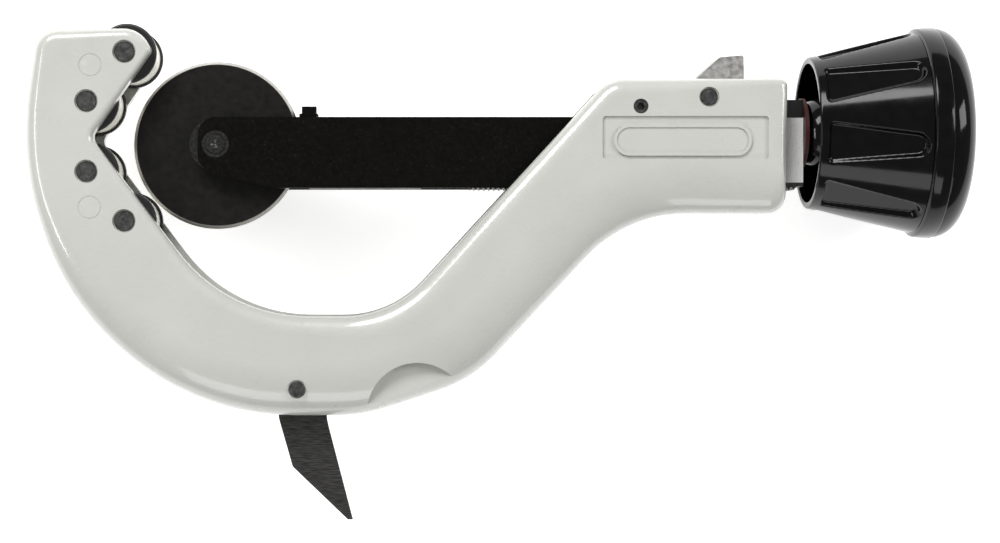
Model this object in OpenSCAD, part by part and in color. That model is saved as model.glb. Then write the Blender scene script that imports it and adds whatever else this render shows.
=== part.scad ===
// Telescopic quick-adjust pipe cutter, lying on its back, in millimetres.
// X runs from the jaw to the knob, Y across the grip, Z up from the frame's flat rear face.
// The knob and feed axis is the line y = 0 at half the frame's thickness.

/* [Frame] */
// thickness of the casting, rear face to front face
frame_t = 32; // [31:0.5:33]
// wall left along the outer edge of the casting
rim_wall = 6.5; // [6:0.5:6.5]
// thickness of each side plate in the jaw
plate_t = 5.5; // [5:0.25:5.5]

/* [Rollers] */
// radius of the roller drums
drum_r = 8; // [7.6:0.1:8]
// radius of the roller end flanges
flange_r = 8.85; // [8.5:0.05:8.85]
// radius of the roller pins
roller_pin_r = 3; // [2.8:0.1:3]

/* [Cutting] */
// radius of the cutting wheel
wheel_r = 25; // [22:0.5:25]
// thickness of the cutting wheel
wheel_t = 3; // [2.4:0.1:3]
// radius of the wheel axle
axle_r = 4; // [3.5:0.1:4]

/* [Feed] */
// radius of the feed spindle
spindle_r = 4; // [3.6:0.1:4]
// radius of the spindle journal
journal_r = 3; // [2.6:0.1:3]

/* [Knob] */
// largest radius of the knob
knob_r = 31.6; // [30.5:0.1:31.6]
// number of grip flutes
flutes = 8; // [6:1:9]
// depth of a grip flute
flute_depth = 1.8; // [1.2:0.1:2]

/* [Deburring blade] */
// thickness of the deburring blade
blade_t = 2; // [1.6:0.1:2]

/* [Hidden] */
$fn = 64;
mid = frame_t / 2;
fit = 0.03;
running = 0.05;
over = 1;

// outline of the casting: corner x, corner y, corner radius
frame_corners = [
    [-193.3, 29.9, 7], [-198.8, -6.7, 85], [-175.6, -84.1, 78], [-98, -84.1, 50],
    [-65.2, -73.3, 40], [-19.8, -24.2, 40], [26.7, -24.2, 5], [26.7, 15.2, 2.5],
    [-25.5, 15.2, 10], [-89.5, -54.6, 32], [-137.6, -54.6, 48], [-177.5, -2, 3],
    [-159.6, 23.6, 2], [-163.2, 29.9, 8]];

jaw_half = mid - plate_t;
grip_half = 9.3;
grip_top = 12;
grip_bottom = -17.7;
grip_start = -4;
grip_end = 26.7;

// rollers: two inner, two outer, mirrored about the jaw's centre line
jaw_y = -1.8;
roller_places = [
    [-167.5, jaw_y + 24.75], [-178.6, jaw_y + 10.3],
    [-178.6, jaw_y - 10.3], [-167.5, jaw_y - 24.75]];
roller_len = 2 * jaw_half - 0.6;
flange_t = 2.3;

// arm
arm_half = 9;
cheek_t = 2.5;
arm_top = 4.3;
arm_bottom = -16.7;
wheel_at = [-141.4, -3.7];
arm_tail = -5;

// slide bar and rack
bar_half = 6.3;
bar_left = -67;
bar_right = 32.8;
bar_top = 4.2;
bar_bottom = -15;
bearing_left = 19;
rack_pitch = 1.5;
tooth_h = 1;
rack_root = -16.2;
rack_tip = rack_root - tooth_h;

// release lever and lock
lever_at = [3.6, 9.7];
link_at = [12.6, 9];
lever_pin_r = 2.5;
link_pin_r = 1.5;
lever_half = 8.5;
leg_in = 9.6;
leg_out = 11.6;
lock_x0 = 9;
lock_x1 = 16;

// deburring blade and stop screw
blade_at = [-117, -76];
blade_pin_r = 2.5;
spacer_r = 4.5;
stop_at = [-16.4, 7];
stop_r = 2.15;

// knob, measured along the feed axis
knob_x0 = 34.1;
rim_x = 35.05;
flange_x = 66;
knob_x1 = 79.5;
rim_r = 22.6;
neck_r = 29.9;

paint = [0.82, 0.82, 0.80];
black = [0.06, 0.06, 0.07];
steel = [0.62, 0.62, 0.63];
dark_steel = [0.22, 0.22, 0.23];

// ---------- outlines ----------

function unit(v) = v / norm(v);

// points of a round corner at q, between its neighbours p and s
function corner(p, q, s, r) =
    r == 0 ? [q] :
    let (u = unit(p - q), w = unit(s - q), half = acos(u * w) / 2,
         c = q + unit(u + w) * r / sin(half),
         a = q + u * r / tan(half) - c, b = q + w * r / tan(half) - c,
         start = atan2(a.y, a.x), turn = atan2(a.x * b.y - a.y * b.x, a * b),
         steps = max(2, ceil(abs(turn) / 6)))
    [for (i = [0:steps]) c + r * [cos(start + turn * i / steps), sin(start + turn * i / steps)]];

function xy(v) = [v.x, v.y];

function rounded(path) =
    let (n = len(path))
    [for (i = [0:n - 1])
        each corner(xy(path[(i + n - 1) % n]), xy(path[i]), xy(path[(i + 1) % n]), path[i].z)];

// corner i of a counter-clockwise path, moved inwards by d
function inset_corner(path, i, d) =
    let (n = len(path), q = xy(path[i]),
         u = unit(xy(path[(i + n - 1) % n]) - q), w = unit(xy(path[(i + 1) % n]) - q),
         turn = w.x * u.y - w.y * u.x, half = acos(u * w) / 2, side = sign(turn),
         moved = q + unit(u + w) * side * d / sin(half))
    [moved.x, moved.y, path[i].z - side * d];

cavity_corners = concat(
    [[-150, 45, 0], [-177, 45, 0], [-177, 24, 1], [-188.2, 24, 3]],
    [for (i = [1:5]) inset_corner(frame_corners, i, rim_wall)],
    [[grip_start, grip_bottom, 0], [grip_start, grip_top, 0], [-30, grip_top, 0], [-30, 45, 0]]);

// ---------- placing helpers ----------

// a round bar along Z between two heights measured from the mid-plane
module bar_z(at, r, z0, z1) {
    translate([at.x, at.y, mid + z0]) cylinder(r = r, h = z1 - z0);
}

// a box given by its two corners, z measured from the mid-plane
module block(a, b) {
    translate([a.x, a.y, mid + a.z]) cube(b - a);
}

// a prism along Z between two heights measured from the mid-plane
module prism(path, z0, z1) {
    translate([0, 0, mid + z0]) linear_extrude(z1 - z0) polygon(path);
}

// turned shape on the feed axis: [radius, x] points
module turned_x(profile) {
    translate([0, 0, mid]) rotate([0, 90, 0]) rotate_extrude() polygon(profile);
}

// turned shape on an axis along Z: [radius, height from the mid-plane] points
module turned_z(at, profile) {
    translate([at.x, at.y, mid]) rotate_extrude() polygon(profile);
}

// ---------- frame ----------

module frame() {
    badge = [[-27.6, -8.5], [21, 4.1]];
    badge_depth = 0.8;
    stadium_r = 4.55;
    scoop_at = [-81.8, -82.8];
    scoop_r = 14.7;
    scoop_depth = 3;
    color(paint) union() {
        difference() {
            prism(rounded(frame_corners), -mid, mid);
            prism(rounded(cavity_corners), -jaw_half, jaw_half);
            // channel through the grip, wider where the lock stirrup moves
            block([grip_start - over, grip_bottom, -grip_half], [grip_end + over, grip_top, grip_half]);
            block([lock_x0 - 1, -22.4, -leg_out - 0.3], [lock_x1 + 1, grip_top, leg_out + 0.3]);
            // opening for the release lever
            block([-1.5, grip_top - over, -lever_half - 0.3], [18.2, 16, lever_half + 0.3]);
            // slit for the deburring blade
            block([-126.5, -90, -blade_t / 2 - 0.3], [-72.5, -64, blade_t / 2 + 0.3]);
            for (p = roller_places) bar_z(p, roller_pin_r + fit, -mid - over, mid + over);
            bar_z(lever_at, lever_pin_r + fit, -mid - over, mid + over);
            bar_z(blade_at, blade_pin_r + fit, -mid - over, mid + over);
            bar_z(blade_at, spacer_r + 0.4, -jaw_half, jaw_half);
            bar_z(stop_at, stop_r + fit, 0, mid + over);
            for (side = [-1, 1])
                bar_z(scoop_at, scoop_r, side > 0 ? mid - scoop_depth : -mid - over,
                    side > 0 ? mid + over : -mid + scoop_depth);
            // badge recess with a blank stadium left standing
            difference() {
                block([badge[0].x, badge[0].y, mid - badge_depth], [badge[1].x, badge[1].y, mid + over]);
                block([-19.65, -7.5, mid - 2], [11.45, 1.6, mid + 2]);
                for (x = [-19.65, 11.45])
                    bar_z([x, -2.95], stadium_r, mid - 2, mid + 2);
            }
        }
        // rails above the arm, at the mouth and at the rear end of the grip
        for (x = [[-22, -2.5], [18.6, grip_end]], side = [-1, 1])
            difference() {
                block([x[0], arm_top + 0.3, side > 0 ? 6.8 : -jaw_half - 0.1],
                    [x[1], grip_top + 0.1, side > 0 ? jaw_half + 0.1 : -6.8]);
                bar_z(stop_at, stop_r + fit, 0, mid + over);
            }
    }
}

// ---------- rollers ----------

module roller_drum(i) {
    half = roller_len / 2 - flange_t - 0.01;
    groove_half = 2;
    groove_r = drum_r - 1.5;
    bore = roller_pin_r + running;
    color([0.93, 0.92, 0.86])
        turned_z(roller_places[i], [
            [bore, -half], [drum_r, -half], [drum_r, -groove_half - 1], [groove_r, -groove_half],
            [groove_r, groove_half], [drum_r, groove_half + 1], [drum_r, half], [bore, half]]);
}

module roller_flanges(i) {
    chamfer = 0.6;
    bore = roller_pin_r + running;
    inner = roller_len / 2 - flange_t;
    color(black) for (side = [-1, 1])
        turned_z(roller_places[i], [
            [bore, side * inner], [flange_r, side * inner],
            [flange_r, side * (roller_len / 2 - chamfer)],
            [flange_r - chamfer, side * roller_len / 2], [bore, side * roller_len / 2]]);
}

module pin(at, r) {
    head = mid - 0.3;
    chamfer = 0.4;
    color(dark_steel) turned_z(at, [
        [0, -head], [r - chamfer, -head], [r, -head + chamfer],
        [r, head - chamfer], [r - chamfer, head], [0, head]]);
}

// ---------- arm and wheel ----------

cheek_corners = [
    [-146.6, arm_top, 5.3], [-146.6, -8.8, 2], [-143.2, -12.3, 6], [-124.3, arm_bottom, 20],
    [arm_tail, arm_bottom, 1], [arm_tail, arm_top, 1]];

module cutter_arm() {
    web_left = -114;
    web_right = -80.5;
    web_t = 2.5;
    inner = arm_half - cheek_t;
    color(black) difference() {
        union() {
            for (z = [-arm_half, inner]) prism(rounded(cheek_corners), z, z + cheek_t);
            block([web_left, arm_bottom, -inner - 0.1], [web_right, arm_bottom + web_t, inner + 0.1]);
        }
        bar_z(wheel_at, axle_r + fit, -arm_half - over, arm_half + over);
        for (x = nut_screw_x) translate([x, arm_bottom - over, mid])
            rotate([-90, 0, 0]) cylinder(r = 1.6, h = web_t + 2 * over);
    }
}

module stop_stud() {
    inner = arm_half - cheek_t - fit;
    left = -115.9;
    right = -111.6;
    color(black) union() {
        block([left, -2, -inner], [right, arm_top + 0.5, inner]);
        block([left - 0.9, arm_top + 0.02, -4], [right + 0.3, 5.6, 4]);
        block([left - 0.2, 5, -3], [right - 0.2, 7.8, 3]);
    }
}

module cutting_wheel() {
    bevel = 0.8;
    edge = 0.35;
    half = wheel_t / 2;
    color(dark_steel) turned_z(wheel_at, [
        [axle_r + running, -half], [wheel_r - bevel, -half], [wheel_r, -edge],
        [wheel_r, edge], [wheel_r - bevel, half], [axle_r + running, half]]);
}

module wheel_spacers() {
    inner = wheel_t / 2 + 0.1;
    outer = arm_half - cheek_t - fit;
    color(steel) for (side = [-1, 1])
        turned_z(wheel_at, [
            [axle_r + fit, side * inner], [7.9, side * inner],
            [7.9, side * outer], [axle_r + fit, side * outer]]);
}

module wheel_axle() {
    end = arm_half + 0.5;
    ring = 2.8;
    color(dark_steel) turned_z(wheel_at, [
        [0, -end + 0.8], [1.3, -end], [ring, -end], [ring + 0.3, -end + 0.4], [axle_r, -end + 0.4],
        [axle_r, end - 0.4], [ring + 0.3, end - 0.4], [ring, end], [1.3, end], [0, end - 0.8]]);
}

// ---------- feed ----------

nut_x0 = -98;
nut_x1 = -88;
nut_screw_x = [-95.5, -90.5];
spindle_x0 = -98.5;
spindle_x1 = 66;

module feed_nut() {
    color([0.72, 0.58, 0.28]) difference() {
        block([nut_x0, arm_bottom + 2.52, -bar_half], [nut_x1, arm_top - 0.1, bar_half]);
        translate([nut_x0 - over, 0, mid]) rotate([0, 90, 0])
            cylinder(r = spindle_r + running, h = nut_x1 - nut_x0 + 2 * over);
        for (x = nut_screw_x) translate([x, arm_bottom, mid])
            rotate([-90, 0, 0]) cylinder(r = 1.5 + fit, h = 10);
    }
}

module feed_nut_screws() {
    color(dark_steel) for (x = nut_screw_x)
        translate([x, arm_bottom + 0.3, mid]) rotate([-90, 0, 0]) cylinder(r = 1.5, h = 8.8);
}

module spindle() {
    shoulder = bearing_left - 0.1;
    color(steel) turned_x([
        [0, spindle_x0], [spindle_r - 1, spindle_x0], [spindle_r, spindle_x0 + 1],
        [spindle_r, shoulder], [journal_r, shoulder], [journal_r, spindle_x1], [0, spindle_x1]]);
}

cap_screws = [[22.5, 4.5], [29.5, -4.5]];
cap_screw_r = 1.2;

module cap_screw_holes() {
    for (s = cap_screws) translate([s.x, -6, mid + s.y])
        rotate([-90, 0, 0]) cylinder(r = cap_screw_r + fit, h = 17);
}

module slide_bar() {
    trough = spindle_r + 0.5;
    color(steel) difference() {
        block([bar_left, bar_bottom, -bar_half], [bar_right, bar_top, bar_half]);
        block([bar_left - over, -trough, -trough], [bearing_left, bar_top + over, trough]);
        translate([bearing_left - over, 0, mid]) rotate([0, 90, 0])
            cylinder(r = journal_r + running, h = bar_right - bearing_left + 2 * over);
        cap_screw_holes();
    }
}

// zigzag of the rack between two x positions, tips at multiples of the pitch
function rack_teeth(x0, x1) = [
    for (k = [ceil(x0 / rack_pitch):floor(x1 / rack_pitch) - 1])
        each [[k * rack_pitch, rack_tip], [(k + 0.5) * rack_pitch, rack_root]]];

module rack_strip() {
    left = bar_left + 1;
    color(dark_steel) prism(concat(
        [[bar_right, bar_bottom - 0.02], [left, bar_bottom - 0.02], [left, rack_root]],
        rack_teeth(left, bar_right), [[bar_right, rack_root]]), -bar_half, bar_half);
}

module bearing_cap() {
    color(black) difference() {
        block([bearing_left, bar_top + 0.02, -bar_half], [bar_right, 9.5, bar_half]);
        cap_screw_holes();
    }
}

module bearing_cap_screws() {
    color(dark_steel) for (s = cap_screws)
        translate([s.x, -5.8, mid + s.y]) rotate([-90, 0, 0]) cylinder(r = cap_screw_r, h = 15);
}

module fibre_washer() {
    color([0.55, 0.08, 0.06]) turned_x([
        [journal_r + running, bar_right + 0.05], [10.3, bar_right + 0.05],
        [10.3, knob_x0 - 0.1], [journal_r + running, knob_x0 - 0.1]]);
}

// ---------- knob ----------

knob_bore = journal_r + fit;
pocket_x = 58;
pocket_r = 7;
cap_x = 77.4;
cap_r = 12;
wall_taper = atan((neck_r - rim_r) / (flange_x - rim_x));

module flute(angle) {
    wide = 6.4;
    narrow = 3.9;
    length = 25;
    start = 2.2;
    top = 4;
    translate([rim_x, 0, mid]) rotate([angle, 0, 0]) translate([0, 0, rim_r])
        rotate([0, -wall_taper, 0]) translate([0, 0, -flute_depth]) linear_extrude(flute_depth + top)
            union() {
                polygon([[start, -wide], [start + length, -narrow],
                    [start + length, narrow], [start, wide]]);
                translate([start + length, 0]) circle(r = narrow);
            }
}

module knob() {
    edge = 0.5;
    color(black) difference() {
        turned_x([
            [knob_bore, knob_x0], [9, knob_x0], [11, 40], [12.6, 62], [24.6, 62],
            [rim_r - 2, rim_x], [rim_r - edge, rim_x], [rim_r, rim_x + edge],
            [neck_r, flange_x], [knob_r - 0.3, flange_x + 0.3], [knob_r, 71.5],
            [30.7, 75], [28.6, 77.6], [25.6, 79.1], [22, knob_x1], [cap_r + fit, knob_x1],
            [cap_r + fit, cap_x], [pocket_r, cap_x], [pocket_r, pocket_x], [knob_bore, pocket_x]]);
        for (i = [0:flutes - 1]) flute(i * 360 / flutes + 10);
    }
}

module knob_washer() {
    color(steel) turned_x([
        [journal_r + fit, pocket_x + 0.02], [6.6, pocket_x + 0.02],
        [6.6, pocket_x + 1.2], [journal_r + fit, pocket_x + 1.2]]);
}

module knob_nut() {
    nut_t = 5;
    across_corners_r = 5.8;
    color(steel) difference() {
        translate([pocket_x + 1.25, 0, mid]) rotate([0, 90, 0])
            cylinder(r = across_corners_r, h = nut_t, $fn = 6);
        translate([pocket_x, 0, mid]) rotate([0, 90, 0]) cylinder(r = journal_r + fit, h = nut_t + 3);
    }
}

module knob_cap() {
    color(black) turned_x([
        [0, cap_x + 0.02], [cap_r, cap_x + 0.02], [cap_r, knob_x1 - 0.6],
        [cap_r - 0.6, knob_x1], [0, knob_x1]]);
}

// ---------- release lever and lock ----------

module release_lever() {
    spring_half = 3.3;
    profile = [
        [-0.5, 14.5, 1], [-0.6, 9.7, 0.5], [3.6, 5.5, 3.5], [12.6, 6.2, 2], [15, 8.6, 1.5],
        [14.8, 22.6, 0.6], [7.8, 22, 1]];
    color([0.70, 0.70, 0.68]) difference() {
        prism(rounded(profile), -lever_half, lever_half);
        bar_z(lever_at, lever_pin_r + running, -lever_half - over, lever_half + over);
        bar_z(link_at, link_pin_r + fit, -lever_half - over, lever_half + over);
        bar_z(lever_at, 4.7, -spring_half, spring_half);
    }
}

module lever_spring() {
    wire = 0.45;
    coil_r = 3.6;
    color(steel) for (k = [-2:2])
        translate([lever_at.x, lever_at.y, mid + k * 1.1]) rotate_extrude()
            translate([coil_r, 0]) circle(r = wire, $fn = 24);
}

module link_pin() {
    color(dark_steel) bar_z(link_at, link_pin_r, -leg_out, leg_out);
}

module lock_stirrup() {
    teeth_half = 6;
    lift = 0.15;
    tip = rack_root - lift;
    root = rack_tip - lift;
    shelf = rack_tip - 0.2;
    bottom = -20.4;
    color([0.30, 0.30, 0.31]) difference() {
        union() {
            block([lock_x0, bottom, -leg_out], [lock_x1, shelf, leg_out]);
            for (z = [-leg_out, leg_in])
                block([lock_x0, bottom, z], [lock_x1, 11.8, z + leg_out - leg_in]);
            prism(concat(
                [[lock_x1 - 1, shelf - 0.5], [lock_x0 + 1, shelf - 0.5]],
                [for (k = [7:9]) each [
                    [k * rack_pitch, root], [(k + 0.5) * rack_pitch, tip]]],
                [[10 * rack_pitch, root]]), -teeth_half, teeth_half);
        }
        bar_z(link_at, link_pin_r + 0.3, -leg_out - over, leg_out + over);
    }
}

module stop_screw() {
    socket = 3;
    color(dark_steel) difference() {
        bar_z(stop_at, stop_r, 2, mid - 0.7);
        bar_z(stop_at, 1.2, mid - 0.7 - socket, mid + over, $fn = 6);
    }
}

// ---------- deburring blade ----------

module deburring_blade() {
    outline = [
        [-6.5, 5, 4], [-6.1, -9.1, 10], [-1.9, -23.8, 2], [14.6, -39.6, 0],
        [16.1, -39.6, 0], [8.3, -9.7, 20], [7.4, 5, 4]];
    half = blade_t / 2;
    color(dark_steel) difference() {
        translate([blade_at.x, blade_at.y, mid - half]) linear_extrude(blade_t)
            polygon(rounded(outline));
        bar_z(blade_at, blade_pin_r + running, -half - over, half + over);
        // ground edge on the front side
        translate([blade_at.x - 1.9, blade_at.y - 23.8, mid + half]) rotate([0, 0, -43.8])
            rotate([25, 0, 0]) translate([-5, -3, 0]) cube([40, 4, 3]);
    }
}

module blade_spacers() {
    inner = blade_t / 2 + 0.1;
    outer = jaw_half - 0.05;
    color(steel) for (side = [-1, 1])
        turned_z(blade_at, [
            [blade_pin_r + fit, side * inner], [spacer_r, side * inner],
            [spacer_r, side * outer], [blade_pin_r + fit, side * outer]]);
}

// ---------- the nodes ----------

frame();
roller_drum(0);  // roller_drum_1
roller_drum(1);  // roller_drum_2
roller_drum(2);  // roller_drum_3
roller_drum(3);  // roller_drum_4
roller_flanges(0);  // roller_flanges_1
roller_flanges(1);  // roller_flanges_2
roller_flanges(2);  // roller_flanges_3
roller_flanges(3);  // roller_flanges_4
pin(roller_places[0], roller_pin_r);  // roller_pin_1
pin(roller_places[1], roller_pin_r);  // roller_pin_2
pin(roller_places[2], roller_pin_r);  // roller_pin_3
pin(roller_places[3], roller_pin_r);  // roller_pin_4
cutter_arm();
stop_stud();
cutting_wheel();
wheel_spacers();
wheel_axle();
feed_nut();
feed_nut_screws();
spindle();
slide_bar();
rack_strip();
bearing_cap();
bearing_cap_screws();
fibre_washer();
knob();
knob_washer();
knob_nut();
knob_cap();
release_lever();
pin(lever_at, lever_pin_r);  // lever_pin
lever_spring();
link_pin();
lock_stirrup();
stop_screw();
deburring_blade();
pin(blade_at, blade_pin_r);  // blade_pin
blade_spacers();
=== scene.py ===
import math

import bmesh
import bpy
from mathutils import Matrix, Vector


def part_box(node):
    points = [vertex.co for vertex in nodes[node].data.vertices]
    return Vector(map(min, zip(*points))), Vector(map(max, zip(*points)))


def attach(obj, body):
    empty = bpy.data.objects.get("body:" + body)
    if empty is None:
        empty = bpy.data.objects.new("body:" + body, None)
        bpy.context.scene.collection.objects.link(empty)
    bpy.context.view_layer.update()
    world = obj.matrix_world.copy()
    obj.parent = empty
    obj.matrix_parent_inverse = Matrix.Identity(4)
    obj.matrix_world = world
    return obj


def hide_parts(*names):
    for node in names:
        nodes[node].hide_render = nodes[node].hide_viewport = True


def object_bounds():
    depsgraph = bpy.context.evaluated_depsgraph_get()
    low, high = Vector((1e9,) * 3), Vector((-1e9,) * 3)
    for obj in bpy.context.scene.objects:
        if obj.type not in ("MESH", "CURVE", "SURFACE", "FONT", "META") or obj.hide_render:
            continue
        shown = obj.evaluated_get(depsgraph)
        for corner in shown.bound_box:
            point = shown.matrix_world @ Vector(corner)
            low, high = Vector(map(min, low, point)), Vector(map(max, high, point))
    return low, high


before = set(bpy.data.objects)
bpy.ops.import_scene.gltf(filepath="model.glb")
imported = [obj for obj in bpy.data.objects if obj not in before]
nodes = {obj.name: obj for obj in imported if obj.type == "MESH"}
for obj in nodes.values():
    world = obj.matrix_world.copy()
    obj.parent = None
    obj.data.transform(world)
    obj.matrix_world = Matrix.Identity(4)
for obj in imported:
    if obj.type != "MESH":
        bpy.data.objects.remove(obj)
cad_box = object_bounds()

# shapes are in mm, which MM turns into Blender's metres; materials, lights and camera are in metres
MM = 0.001


def mid_height():
    """Height of the casting's mid-plane."""
    low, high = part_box("frame")
    return (low.z + high.z) / 2 / MM


MID = mid_height()
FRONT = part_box("frame")[1].z / MM
OVER = 1  # how far a cutter stands past the face that it cuts

ROLLERS = range(1, 5)
ROLLER_PINS = [f"roller_pin_{i}" for i in ROLLERS]


# ---------- mesh helpers ----------

def mesh_object(name, verts, faces):
    """A new object from points in mm, with its faces turned outwards."""
    mesh = bpy.data.meshes.new(name)
    mesh.from_pydata([(x * MM, y * MM, z * MM) for x, y, z in verts], [], faces)
    bm = bmesh.new()
    bm.from_mesh(mesh)
    bmesh.ops.recalc_face_normals(bm, faces=bm.faces)
    bm.to_mesh(mesh)
    bm.free()
    obj = bpy.data.objects.new(name, mesh)
    bpy.context.scene.collection.objects.link(obj)
    return obj


def prism(name, path, z0, z1):
    """A closed outline stretched from z0 to z1."""
    n = len(path)
    verts = [(x, y, z) for z in (z0, z1) for x, y in path]
    sides = [(i, (i + 1) % n, n + (i + 1) % n, n + i) for i in range(n)]
    return mesh_object(name, verts, [tuple(range(n))[::-1], tuple(range(n, 2 * n))] + sides)


def box_piece(name, low, high):
    path = [(low[0], low[1]), (high[0], low[1]), (high[0], high[1]), (low[0], high[1])]
    return prism(name, path, low[2], high[2])


def circle(x, y, r, count=64):
    return [(x + r * math.cos(math.tau * i / count), y + r * math.sin(math.tau * i / count))
            for i in range(count)]


def apply_modifiers(obj):
    graph = bpy.context.evaluated_depsgraph_get()
    mesh = bpy.data.meshes.new_from_object(obj.evaluated_get(graph))
    obj.modifiers.clear()
    obj.data = mesh


def cut(obj, cutter):
    boolean = obj.modifiers.new("cut", "BOOLEAN")
    boolean.operation = "DIFFERENCE"
    boolean.solver = "EXACT"
    boolean.object = cutter
    apply_modifiers(obj)
    bpy.data.objects.remove(cutter)


def join(obj, other):
    boolean = obj.modifiers.new("join", "BOOLEAN")
    boolean.operation = "UNION"
    boolean.solver = "EXACT"
    boolean.object = other
    apply_modifiers(obj)
    bpy.data.objects.remove(other)


def smooth(mesh, angle):
    """Smooth shading, with edges sharper than angle degrees left sharp."""
    mesh.polygons.foreach_set("use_smooth", [True] * len(mesh.polygons))
    mesh.set_sharp_from_angle(angle=math.radians(angle))


# ---------- outlines ----------

OUTLINE_STEP = 5  # degrees between the points of a plain outline's arcs


def corner(p, q, s, r, step):
    """Points of the arc of radius r that rounds corner q between p and s, step degrees apart."""
    if r == 0:
        return [tuple(q)]
    u = (p - q).normalized()
    w = (s - q).normalized()
    half = u.angle(w) / 2
    centre = q + (u + w).normalized() * r / math.sin(half)
    a = q + u * r / math.tan(half) - centre
    b = q + w * r / math.tan(half) - centre
    turn = math.atan2(a.x * b.y - a.y * b.x, a.dot(b))
    start = math.atan2(a.y, a.x)
    steps = max(3, math.ceil(abs(math.degrees(turn)) / step))
    return [(centre.x + r * math.cos(start + turn * i / steps),
             centre.y + r * math.sin(start + turn * i / steps)) for i in range(steps + 1)]


def rounded(corners):
    """The closed outline through corners given as x, y and radius."""
    n = len(corners)
    flat = [Vector(c[:2]) for c in corners]
    return [p for i in range(n)
            for p in corner(flat[i - 1], flat[i], flat[(i + 1) % n], corners[i][2], OUTLINE_STEP)]


def inset_corner(corners, i, d):
    """Corner i of the outline moved inwards by d, its radius changed to match."""
    n = len(corners)
    q = Vector(corners[i][:2])
    u = (Vector(corners[i - 1][:2]) - q).normalized()
    w = (Vector(corners[(i + 1) % n][:2]) - q).normalized()
    side = 1 if w.x * u.y - w.y * u.x > 0 else -1
    moved = q + (u + w).normalized() * side * d / math.sin(u.angle(w) / 2)
    return (moved.x, moved.y, corners[i][2] - side * d)


# ---------- casting ----------

# corner x, y, radius, then the width and the drop of the face's rounding there
CASTING = [
    (-193.3, 29.9, 7, 4, 4), (-198.8, -6.7, 85, 5, 4.5), (-175.6, -84.1, 78, 14, 9),
    (-98, -84.1, 50, 16, 10), (-65.2, -73.3, 40, 17, 10), (-19.8, -24.2, 40, 16, 7.5),
    (26.7, -24.2, 5, 14, 6.3), (26.7, 15.2, 2.5, 2.2, 2), (-25.5, 15.2, 10, 5, 3.5),
    (-89.5, -54.6, 32, 7, 4), (-137.6, -54.6, 48, 4, 3), (-177.5, -2, 3, 2, 1.8),
    (-159.6, 23.6, 2, 1.2, 1.2), (-163.2, 29.9, 8, 3, 2.5)]
ARC_STEP = 4     # degrees between the points of its arcs
PIECE = 3        # longest straight piece of its outline
ROUND_STEPS = 8  # rings of points in each face's rounding
RIM_WALL = 6.5
PLATE = 5.5
JAW_HALF = MID - PLATE

# the grip, and the square end at its rear, where the wide lower rounding runs straight out
GRIP_TOP = 12
GRIP_BOTTOM = -17.7
GRIP_START = -4
GRIP_END = 26.7
LOWER_EDGE = -24.2
CORNER_TOP = -18.9
END_ZONE = 5.5
END_LENGTH = 5.2
END_ROUNDING = 2
END_RISE = 13.5

# low and high corner in x and y of each opening, then its half width in z
CHANNEL = ((GRIP_START - 1, GRIP_BOTTOM), (GRIP_END + 2, GRIP_TOP), 9.3)
LOCK_POCKET = ((8, -22.4), (17, GRIP_TOP), 11.9)
LEVER_OPENING = ((-1.5, 11), (18.2, 17), 8.8)
BLADE_SLIT = ((-126.5, -90), (-72.5, -64), 1.3)

PIN_FIT = 0.03
SINK_GAP = 0.45
SINK_DEPTH = 1.0
STOP_HOLE = (-16.4, 7, 2.18)
SCOOP = (-81.8, -82.8, 14.7)
SCOOP_DEPTH = 4.5

# two faint ring marks in the front face of the head
MARKS = ((-177.4, 19), (-177.6, -22.6))
MARK_R = 3.4
MARK_INNER_R = 3.1
MARK_DEPTH = 0.12

# rails above the arm, from x to x, at the mouth and at the rear end of the grip
RAILS = ((-22, -2.5), (18.6, GRIP_END - 0.3))
RAIL_BOTTOM = 4.6
RAIL_INNER = 6.8
RAIL_OVERLAP = 0.1

# low and high corner in x and y, and the corner radius
BADGE = ((-27.6, -8.5), (21, 4.1), 1)
BADGE_DEPTH = 0.8
STADIUM = ((-24.2, -7.5), (16, 1.6), 4.5)
STADIUM_FIELD = ((-23.4, -6.7), (15.2, 0.8), 3.7)
FIELD_DEPTH = 0.45


def casting_outline():
    """Outline points, each with the width and the drop of its rounding.

    The rounding changes smoothly from the middle of one corner's arc to the next one's.
    """
    flat = [Vector(c[:2]) for c in CASTING]
    n = len(CASTING)
    marks, middles = [], []
    for i in range(n):
        points = corner(flat[i - 1], flat[i], flat[(i + 1) % n], CASTING[i][2], ARC_STEP)
        middles.append(len(marks) + len(points) // 2)
        marks += [Vector(p) for p in points]
    path, lengths, starts = [], [], []
    total = 0.0
    for k, p in enumerate(marks):
        q = marks[(k + 1) % len(marks)]
        starts.append(total)
        pieces = max(1, math.ceil((q - p).length / PIECE))
        for m in range(pieces):
            path.append(p.lerp(q, m / pieces))
            lengths.append(total + (q - p).length * m / pieces)
        total += (q - p).length
    out = []
    for p, at in zip(path, lengths):
        i = max((c for c in range(n) if starts[middles[c]] <= at), default=n - 1)
        j = (i + 1) % n
        begin, end = starts[middles[i]], starts[middles[j]]
        t = (at - begin) % total / ((end - begin) % total)
        ease = t * t * (3 - 2 * t)
        width, drop = (CASTING[i][c] * (1 - ease) + CASTING[j][c] * ease for c in (3, 4))
        out.append((p, width, drop))
    return out


def casting_shifts(outline):
    """How far each outline point's partner on the flat face lies from it."""
    n = len(outline)
    shifts = []
    for i in range(n):
        p, width, _ = outline[i]
        along = (outline[(i + 1) % n][0] - outline[i - 1][0]).normalized()
        shift = Vector((-along.y, along.x)) * width
        if p.x > GRIP_END - END_ZONE and p.y < GRIP_TOP:
            near_end = min(1, max(0, (p.x - GRIP_END + END_LENGTH) / END_LENGTH))
            end = near_end if p.y < CORNER_TOP else 1
            up = (GRIP_TOP - p.y) / (GRIP_TOP - LOWER_EDGE)
            shift = Vector((-END_ROUNDING * end, END_RISE * up))
        shifts.append(shift)
    return shifts


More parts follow.
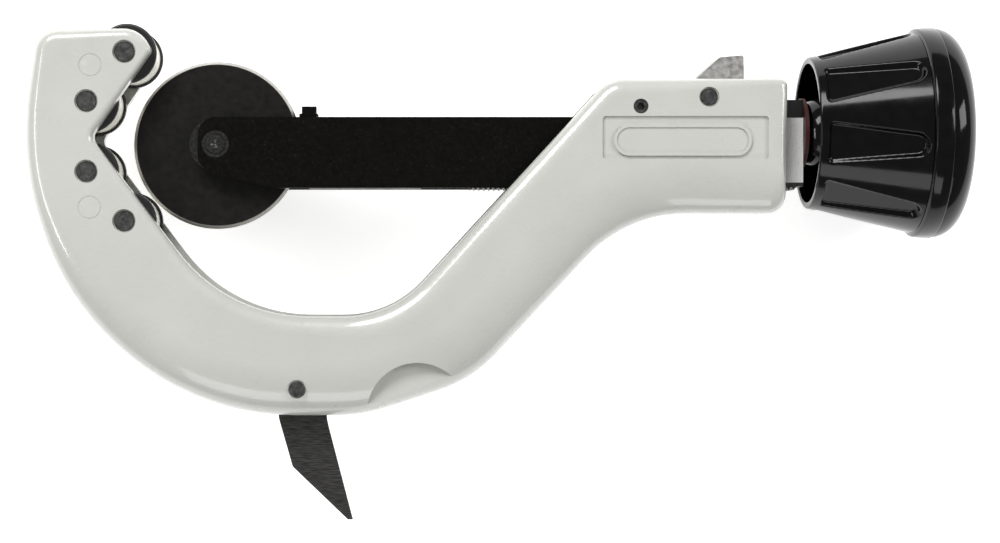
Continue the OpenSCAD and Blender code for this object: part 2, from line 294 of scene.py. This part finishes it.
def casting_body():
    """The solid casting with both faces rounded: rings of points from the rear face to the front."""
    outline = casting_outline()
    shifts = casting_shifts(outline)
    n = len(outline)
    verts = []
    levels = [(math.pi / 2 * k / ROUND_STEPS, 1) for k in range(ROUND_STEPS, -1, -1)]
    levels += [(math.pi / 2 * k / ROUND_STEPS, -1) for k in range(0, ROUND_STEPS + 1)]
    for angle, side in levels:
        for (p, _, drop), shift in zip(outline, shifts):
            q = p + shift * (1 - math.cos(angle))
            z = MID + side * (MID - drop * (1 - math.sin(angle)))
            verts.append((q.x, q.y, z))
    rings = len(levels)
    faces = [tuple(range(n)), tuple(range((rings - 1) * n, rings * n))[::-1]]
    for r in range(rings - 1):
        for i in range(n):
            j = (i + 1) % n
            faces.append((r * n + i, (r + 1) * n + i, (r + 1) * n + j, r * n + j))
    return mesh_object("casting", verts, faces)


def casting():
    body = casting_body()
    cut_openings(body)
    cut_pins(body)
    cut(body, prism("screw_hole", circle(*STOP_HOLE), MID, FRONT + OVER))
    for z0, z1 in ((-2, SCOOP_DEPTH), (FRONT - SCOOP_DEPTH, FRONT + 2)):
        cut(body, prism("scoop", circle(*SCOOP, 96), z0, z1))
    cut_badge(body)
    cut_marks(body)
    add_rails(body)
    smooth(body.data, 32)
    weighted = body.modifiers.new("weighted", "WEIGHTED_NORMAL")
    weighted.keep_sharp = True
    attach(body, "frame")
    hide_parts("frame")
    return body


def cut_openings(body):
    """The hollow behind the rim, the grip's channel and pocket, and the lever's and blade's slots."""
    cavity = [(-150, 45, 0), (-177, 45, 0), (-177, 24, 1), (-188.2, 24, 3)]
    cavity += [inset_corner(CASTING, i, RIM_WALL) for i in range(1, 6)]
    cavity += [(GRIP_START, GRIP_BOTTOM, 0), (GRIP_START, GRIP_TOP, 0), (-30, GRIP_TOP, 0),
               (-30, 45, 0)]
    cut(body, prism("cavity", rounded(cavity), MID - JAW_HALF, MID + JAW_HALF))
    for low, high, half in (CHANNEL, LOCK_POCKET, LEVER_OPENING, BLADE_SLIT):
        cut(body, box_piece("opening", (*low, MID - half), (*high, MID + half)))


def cut_pins(body):
    """A bore for each pin that shows, with a shallow sinking around it on both faces."""
    for node in ROLLER_PINS + ["lever_pin", "blade_pin"]:
        low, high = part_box(node)
        centre = (low + high) / 2 / MM
        r = (high.x - low.x) / 2 / MM
        for z0, z1 in ((-OVER, SINK_DEPTH), (FRONT - SINK_DEPTH, FRONT + OVER)):
            cut(body, prism("sinking", circle(centre.x, centre.y, r + SINK_GAP), z0, z1))
        cut(body, prism("bore", circle(centre.x, centre.y, r + PIN_FIT), -OVER, FRONT + OVER))


def rounded_box(name, shape, z0, z1):
    (x0, y0), (x1, y1), r = shape
    return prism(name, rounded([(x0, y0, r), (x1, y0, r), (x1, y1, r), (x0, y1, r)]), z0, z1)


def cut_badge(body):
    """A shallow rectangle with a blank stadium standing in it."""
    recess = rounded_box("recess", BADGE, FRONT - BADGE_DEPTH, FRONT + OVER)
    cut(recess, rounded_box("stadium", STADIUM, FRONT - 2, FRONT + 2))
    cut(body, recess)
    cut(body, rounded_box("field", STADIUM_FIELD, FRONT - FIELD_DEPTH, FRONT + OVER))


def cut_marks(body):
    for x, y in MARKS:
        ring = prism("mark", circle(x, y, MARK_R), FRONT - MARK_DEPTH, FRONT + OVER)
        cut(ring, prism("mark_core", circle(x, y, MARK_INNER_R), FRONT - 1, FRONT + 2))
        cut(body, ring)


def add_rails(body):
    top = GRIP_TOP + RAIL_OVERLAP
    outer = JAW_HALF + RAIL_OVERLAP
    for x0, x1 in RAILS:
        for z0, z1 in ((MID - outer, MID - RAIL_INNER), (MID + RAIL_INNER, MID + outer)):
            rail = box_piece("rail", (x0, RAIL_BOTTOM, z0), (x1, top, z1))
            cut(rail, prism("screw_hole", circle(*STOP_HOLE), MID, FRONT + OVER))
            join(body, rail)


# ---------- knob ----------

RIM_X = 35.05
FLANGE_X = 66
RIM_R = 22.6
NECK_R = 29.9
KNOB_END = 79.5
RIM_ROUND = 0.5
TAPER_STEPS = 84
TAPER_ANGLE = 13.3
END_STEPS = 14
COLUMNS = 480

# each flute is a wedge that narrows towards the flange and ends in a half circle
FLUTES = 8
FLUTE_ANGLE = 10
FLUTE_DEPTH = 1.8
FLUTE_START = 2.2
FLUTE_LENGTH = 25
FLUTE_WIDE = 6.6
FLUTE_NARROW = 3.9
FLUTE_CORNER = 1.5
FLUTE_EDGE = 1.3
START_SLOPE = 1.2


def step01(x):
    """0 below 0, 1 above 1 and a smooth step between them."""
    x = min(1, max(0, x))
    return x * x * (3 - 2 * x)


def flute_cut(x, angle, r):
    """How much of a flute's depth is taken away here, from 0 to 1, and the angle off its middle."""
    pitch = 360 / FLUTES
    off = (angle - FLUTE_ANGLE + pitch / 2) % pitch - pitch / 2
    side = abs(r * math.sin(math.radians(off)))
    along = (x - RIM_X) / math.cos(math.radians(TAPER_ANGLE)) - FLUTE_START
    if along < FLUTE_LENGTH:
        edge = FLUTE_WIDE + (FLUTE_NARROW - FLUTE_WIDE) * along / FLUTE_LENGTH - side
        inside = min(edge, along * START_SLOPE)
        if edge < FLUTE_CORNER and along < FLUTE_CORNER:
            inside = FLUTE_CORNER - math.hypot(FLUTE_CORNER - edge, FLUTE_CORNER - along)
    else:
        inside = FLUTE_NARROW - math.hypot(along - FLUTE_LENGTH, side)
    return step01(inside / FLUTE_EDGE), off


def taper_point(k):
    """Point k of the straight taper from the rim to the flange."""
    x = RIM_X + RIM_ROUND + (FLANGE_X - RIM_X - RIM_ROUND) * k / TAPER_STEPS
    return x, RIM_R + (NECK_R - RIM_R) * (x - RIM_X) / (FLANGE_X - RIM_X)


def knob():
    # the profile as x and radius: rim, fluted taper, raised flange, rounded end, then the inside
    front = [(RIM_X + RIM_ROUND * (1 - math.cos(a)),
              RIM_R - RIM_ROUND + RIM_ROUND * math.sin(a) + 0.1)
             for a in (0, 0.35, 0.7, 1.05, 1.4)]
    taper = [taper_point(k) for k in range(TAPER_STEPS + 1)]
    flange = [(66.05, 29.75), (66.2, 29.9), (66.3, 30.7), (66.6, 31.05), (67.1, 31.2),
              (68.5, 31.35), (71.2, 31.6), (71.4, 31.5), (71.6, 31.3), (71.9, 31.35)]
    end = [(72 + 7.5 * math.sin(a), 22.5 + 8.8 * math.cos(a))
           for a in [math.pi / 2 * k / END_STEPS for k in range(1, END_STEPS + 1)]]
    inside = [(KNOB_END, 20), (KNOB_END, 12.1), (77.4, 12.03), (77.4, 7), (58, 7), (58, 3.03),
              (34.1, 3.03), (34.1, 8.6), (34.3, 9), (37, 10.2), (40, 11), (62, 12.6), (62, 24.6),
              (45, 22.2), (RIM_X + 0.6, 20.7), (RIM_X + 0.1, 20.8), (RIM_X, 21.1)]
    profile = front + taper + flange + end + inside
    fluted = range(len(front), len(front) + len(taper))
    verts = []
    for j, (x, r) in enumerate(profile):
        for i in range(COLUMNS):
            angle = 360 * i / COLUMNS
            radius = r
            if j in fluted:
                amount, off = flute_cut(x, angle, r)
                floor = min(r, (r - FLUTE_DEPTH) / math.cos(math.radians(off)))
                radius = r + (floor - r) * amount
            a = math.radians(angle)
            verts.append((x, radius * math.sin(-a), MID + radius * math.cos(a)))
    count = len(profile)
    faces = []
    for j in range(count):
        for i in range(COLUMNS):
            k, m = (j + 1) % count, (i + 1) % COLUMNS
            faces.append((j * COLUMNS + i, k * COLUMNS + i, k * COLUMNS + m, j * COLUMNS + m))
    piece = mesh_object("grip_knob", verts, faces)
    smooth(piece.data, 50)
    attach(piece, "knob")
    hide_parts("knob")
    return piece


# ---------- materials ----------

# a noise scale is per metre, and a bump's distance and a radius are in metres

class Look:
    """A small helper that lays out one procedural material on Object coordinates."""

    def __init__(self, name, colour, roughness, metallic=0.0):
        self.material = bpy.data.materials.new(name)
        self.material.use_nodes = True
        self.tree = self.material.node_tree
        self.shader = self.tree.nodes["Principled BSDF"]
        self.shader.inputs["Base Color"].default_value = (*colour, 1)
        self.shader.inputs["Roughness"].default_value = roughness
        self.shader.inputs["Metallic"].default_value = metallic
        self.place = self.tree.nodes.new("ShaderNodeTexCoord").outputs["Object"]
        self.normal = None

    def shine(self, level):
        self.shader.inputs["Specular IOR Level"].default_value = level

    def node(self, kind, **inputs):
        made = self.tree.nodes.new(kind)
        for key, value in inputs.items():
            self.feed(made.inputs[key.replace("_", " ")], value)
        return made

    def feed(self, socket, value):
        if isinstance(value, bpy.types.NodeSocket):
            self.tree.links.new(value, socket)
        else:
            socket.default_value = value

    def math(self, operation, a, b=0.0):
        made = self.tree.nodes.new("ShaderNodeMath")
        made.operation = operation
        self.feed(made.inputs[0], a)
        self.feed(made.inputs[1], b)
        return made.outputs[0]

    def shifted(self, centre, stretch=(1, 1, 1)):
        """Coordinates that start at centre, stretched along each axis."""
        move = self.tree.nodes.new("ShaderNodeMapping")
        move.inputs["Location"].default_value = [-c * s for c, s in zip(centre, stretch)]
        move.inputs["Scale"].default_value = stretch
        self.tree.links.new(self.place, move.inputs["Vector"])
        return move.outputs[0]

    def noise(self, scale, detail=3.0, vector=None):
        made = self.node("ShaderNodeTexNoise", Scale=scale, Detail=detail)
        self.feed(made.inputs["Vector"], vector or self.place)
        return made.outputs["Fac"]

    def remap(self, value, low, high, to_low=0.0, to_high=1.0):
        made = self.tree.nodes.new("ShaderNodeMapRange")
        self.feed(made.inputs["Value"], value)
        for key, number in (("From Min", low), ("From Max", high), ("To Min", to_low),
                            ("To Max", to_high)):
            made.inputs[key].default_value = number
        return made.outputs[0]

    def mix(self, amount, a, b):
        made = self.tree.nodes.new("ShaderNodeMix")
        made.data_type = "RGBA"
        self.feed(made.inputs[0], amount)
        for socket, value in ((made.inputs[6], a), (made.inputs[7], b)):
            self.feed(socket, value if isinstance(value, bpy.types.NodeSocket) else (*value, 1))
        return made.outputs[2]

    def paint(self, value):
        self.feed(self.shader.inputs["Base Color"], value)

    def rough(self, value):
        self.feed(self.shader.inputs["Roughness"], value)

    def bump(self, height, strength, distance):
        """Adds a layer of bump on top of those already there."""
        made = self.node("ShaderNodeBump", Strength=strength, Distance=distance, Height=height)
        if self.normal:
            self.tree.links.new(self.normal, made.inputs["Normal"])
        self.normal = made.outputs[0]
        self.feed(self.shader.inputs["Normal"], self.normal)

    def coat(self, weight, roughness):
        self.shader.inputs["Coat Weight"].default_value = weight
        self.shader.inputs["Coat Roughness"].default_value = roughness

    def edges(self, low, high):
        """1 on sharp outer edges and 0 on flat surface."""
        made = self.tree.nodes.new("ShaderNodeNewGeometry")
        return self.remap(made.outputs["Pointiness"], low, high)


def grey_paint():
    look = Look("grey_paint", (0.53, 0.535, 0.5), 0.3)
    patch = look.noise(30, 4)
    tone = look.mix(look.remap(patch, 0.35, 0.65), (0.515, 0.52, 0.483), (0.545, 0.55, 0.512))
    worn = look.math("MULTIPLY", look.edges(0.53, 0.6), look.remap(look.noise(400), 0.45, 0.6))
    look.paint(look.mix(look.math("MULTIPLY", worn, 0.25), tone, (0.74, 0.74, 0.72)))
    look.rough(look.remap(look.noise(120, 5), 0.3, 0.7, 0.24, 0.36))
    look.bump(look.noise(700, 1), 0.3, 0.00022)
    look.bump(look.noise(2600, 2), 0.10, 0.00005)
    look.coat(0.8, 0.08)
    return look.material


def black_paint():
    look = Look("black_paint", (0.003, 0.0028, 0.002), 0.42)
    speck = look.noise(1900, 3)
    look.paint(look.mix(look.remap(speck, 0.6, 0.75), (0.0022, 0.002, 0.0015), (0.014, 0.013, 0.012)))
    look.rough(look.remap(look.noise(900, 4), 0.3, 0.7, 0.3, 0.5))
    look.bump(speck, 0.3, 0.00008)
    look.shine(0.1)
    return look.material


def radius_from(look, node):
    """Distance from the node's upright axis."""
    low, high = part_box(node)
    place = look.shifted((low + high) / 2, (1, 1, 0))
    made = look.tree.nodes.new("ShaderNodeVectorMath")
    made.operation = "LENGTH"
    look.feed(made.inputs[0], place)
    return made.outputs["Value"]


def wheel_steel():
    look = Look("wheel_steel", (0.010, 0.009, 0.008), 0.4, 0.5)
    # the outer millimetre is ground bright
    r = radius_from(look, "cutting_wheel")
    low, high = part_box("cutting_wheel")
    half = (high.x - low.x) / 2
    mottled = look.mix(look.remap(look.noise(420, 5), 0.3, 0.8), (0.004, 0.0036, 0.0034),
                       (0.011, 0.0095, 0.0085))
    ground = look.remap(r, half - 0.0010, half - 0.00075)
    look.paint(look.mix(ground, mottled, (0.5, 0.49, 0.46)))
    look.feed(look.shader.inputs["Metallic"], look.remap(ground, 0, 1, 0.0, 1.0))
    look.rough(look.remap(look.noise(700, 5), 0.3, 0.7, 0.38, 0.62))
    look.bump(look.noise(800, 5), 0.15, 0.00004)
    look.shine(0.18)
    return look.material


def turned_steel(name, colour, roughness):
    look = Look(name, colour, roughness, 0.9)
    grain = look.noise(900, 4)
    look.paint(look.mix(look.remap(grain, 0.35, 0.7), colour, [min(1, c * 1.9) for c in colour]))
    look.rough(look.remap(look.noise(1500, 3), 0.3, 0.7, roughness - 0.08, roughness + 0.14))
    look.bump(grain, 0.2, 0.00004)
    return look.material


def bar_steel():
    look = Look("bar_steel", (0.96, 0.955, 0.94), 0.45, 0.0)
    streak = look.noise(1, 4, look.shifted((0, 0, 0), (3200, 240, 240)))
    fleck = look.noise(2400, 2)
    tone = look.mix(look.remap(streak, 0.35, 0.7), (0.92, 0.915, 0.9), (1.0, 1.0, 0.99))
    look.paint(look.mix(look.remap(fleck, 0.64, 0.74), tone, (0.6, 0.59, 0.56)))
    look.rough(look.remap(streak, 0.3, 0.7, 0.3, 0.5))
    look.bump(streak, 0.35, 0.00008)
    return look.material


def plastic(name, colour, roughness, coat, grain, shine=0.5):
    look = Look(name, colour, roughness)
    look.paint(look.mix(look.remap(look.noise(300, 4), 0.4, 0.7), colour,
                        [c * 1.25 + 0.001 for c in colour]))
    look.rough(look.remap(look.noise(160, 4), 0.3, 0.7, roughness - 0.03, roughness + 0.06))
    look.bump(look.noise(600, 2), grain, 0.0001)
    look.coat(coat, 0.06)
    look.shine(shine)
    return look.material


def cast_zinc():
    look = Look("cast_zinc", (0.38, 0.375, 0.36), 0.42, 0.55)
    grain = look.noise(500, 5)
    look.paint(look.mix(look.remap(grain, 0.35, 0.7), (0.24, 0.235, 0.225), (0.5, 0.49, 0.47)))
    look.rough(look.remap(look.noise(900, 4), 0.3, 0.7, 0.34, 0.6))
    look.bump(grain, 0.6, 0.0003)
    return look.material


def blade_steel():
    look = Look("blade_steel", (0.055, 0.055, 0.056), 0.4, 0.7)
    streak = look.noise(1, 4, look.shifted((0, 0, 0), (300, 2600, 300)))
    dark = look.mix(look.remap(streak, 0.35, 0.7), (0.035, 0.034, 0.033), (0.10, 0.098, 0.095))
    geometry = look.tree.nodes.new("ShaderNodeNewGeometry")
    split = look.tree.nodes.new("ShaderNodeSeparateXYZ")
    look.feed(split.inputs[0], geometry.outputs["True Normal"])
    # faces that look towards +X, the blade's ground edge at rest, are painted bright: a painted
    # highlight chosen by which way the face looks
    look.paint(look.mix(look.remap(split.outputs["X"], 0.35, 0.5), dark, (0.55, 0.54, 0.52)))
    look.bump(streak, 0.25, 0.00005)
    return look.material


def give(obj, material):
    obj.data.materials.clear()
    obj.data.materials.append(material)


def dress(material, names, bevel=0.0):
    """Gives CAD nodes a material, smooth shading and, where asked for, bevelled edges."""
    for name in names:
        obj = nodes[name]
        give(obj, material)
        smooth(obj.data, 30)
        if bevel:
            edge = obj.modifiers.new("edge", "BEVEL")
            edge.width = bevel * MM
            edge.segments = 2
            edge.limit_method = "ANGLE"
            edge.angle_limit = math.radians(40)
            edge.harden_normals = True


# ---------- putting it together ----------

give(casting(), grey_paint())
gloss = plastic("knob_plastic", (0.0012, 0.0012, 0.0014), 0.1, 0.1, 0.06, 0.2)
give(knob(), gloss)
dress(gloss, ["knob_cap"], 0.2)
dress(black_paint(), ["cutter_arm", "stop_stud"], 0.35)
dress(plastic("cap_black", (0.010, 0.010, 0.011), 0.25, 0.3, 0.1), ["bearing_cap"], 0.3)
dress(wheel_steel(), ["cutting_wheel"])
dress(plastic("roller_nylon", (0.84, 0.82, 0.74), 0.35, 0.1, 0.1),
      [f"roller_drum_{i}" for i in ROLLERS])
dress(plastic("roller_rubber", (0.012, 0.012, 0.012), 0.28, 0.2, 0.1),
      [f"roller_flanges_{i}" for i in ROLLERS])
dress(turned_steel("pin_steel", (0.085, 0.083, 0.082), 0.33), ROLLER_PINS + [
    "lever_pin", "blade_pin", "stop_screw", "link_pin", "feed_nut_screws", "bearing_cap_screws"])
dress(turned_steel("axle_steel", (0.04, 0.039, 0.038), 0.3), ["wheel_axle", "wheel_spacers"])
dress(turned_steel("rack_steel", (0.07, 0.068, 0.066), 0.4), ["rack_strip", "lock_stirrup"])
dress(bar_steel(), ["slide_bar"], 0.25)
dress(turned_steel("bright_steel", (0.42, 0.41, 0.40), 0.3), [
    "spindle", "knob_washer", "knob_nut", "lever_spring", "blade_spacers"])
dress(turned_steel("nut_brass", (0.45, 0.33, 0.13), 0.35), ["feed_nut"], 0.2)
# the fibre washer's red is painted much darker than the fibre is, as painted shade for the knob's
# hollow that it sits in
dress(plastic("red_fibre", (0.045, 0.003, 0.003), 0.5, 0.0, 0.3), ["fibre_washer"], 0.1)
dress(cast_zinc(), ["release_lever"], 0.5)
dress(blade_steel(), ["deburring_blade"], 0.5)


# ---------- stage, light and camera ----------

FLOOR_HALF = 1500
STAGE_MIDDLE = (-0.06, -0.02, 0.0)

# name, place and size in metres, and power in watts; all point at STAGE_MIDDLE
LIGHTS = [
    ("key", (-0.55, 0.95, 0.95), (0.8, 0.5), 15.5),
    ("side", (0.85, 0.25, 0.75), (0.4, 0.6), 6),
    ("rim", (-0.75, -0.05, 0.62), (0.5, 0.06), 1.6),
    ("fill", (-0.2, -1.0, 0.6), (0.9, 0.4), 3.0)]


def floor():
    low, half = cad_box[0].z / MM, FLOOR_HALF
    plane = mesh_object("floor", [(-half, -half, low), (half, -half, low), (half, half, low),
                                  (-half, half, low)], [(0, 1, 2, 3)])
    look = Look("floor_white", (0.93, 0.93, 0.93), 0.7)
    look.bump(look.noise(40, 2), 0.02, 0.001)
    look.shader.inputs["Emission Color"].default_value = (1, 1, 1, 1)
    look.shader.inputs["Emission Strength"].default_value = 0.62
    give(plane, look.material)


def area_light(name, place, size, power):
    light = bpy.data.lights.new(name, "AREA")
    light.shape = "RECTANGLE"
    light.size, light.size_y = size
    light.energy = power
    obj = bpy.data.objects.new(name, light)
    obj.location = place
    obj.rotation_euler = (Vector(STAGE_MIDDLE) - Vector(place)).to_track_quat("-Z", "Y").to_euler()
    bpy.context.scene.collection.objects.link(obj)


def lights():
    world = bpy.data.worlds.new("studio")
    world.use_nodes = True
    world.node_tree.nodes["Background"].inputs["Color"].default_value = (1, 1, 1, 1)
    world.node_tree.nodes["Background"].inputs["Strength"].default_value = 0.27
    bpy.context.scene.world = world
    for light in LIGHTS:
        area_light(*light)


def camera():
    """Looks straight down at the front face; the lens shift frames it as the photograph does."""
    data = bpy.data.cameras.new("photo_camera")
    data.sensor_width = 36
    data.lens = 77.5
    data.shift_x = 0.104
    data.shift_y = -0.0125
    obj = bpy.data.objects.new("photo_camera", data)
    obj.location = (-0.088, -0.0377, MID * MM + 0.645)
    bpy.context.scene.collection.objects.link(obj)
    bpy.context.scene.camera = obj


floor()
lights()
camera()
bpy.context.scene.view_settings.view_transform = "Standard"
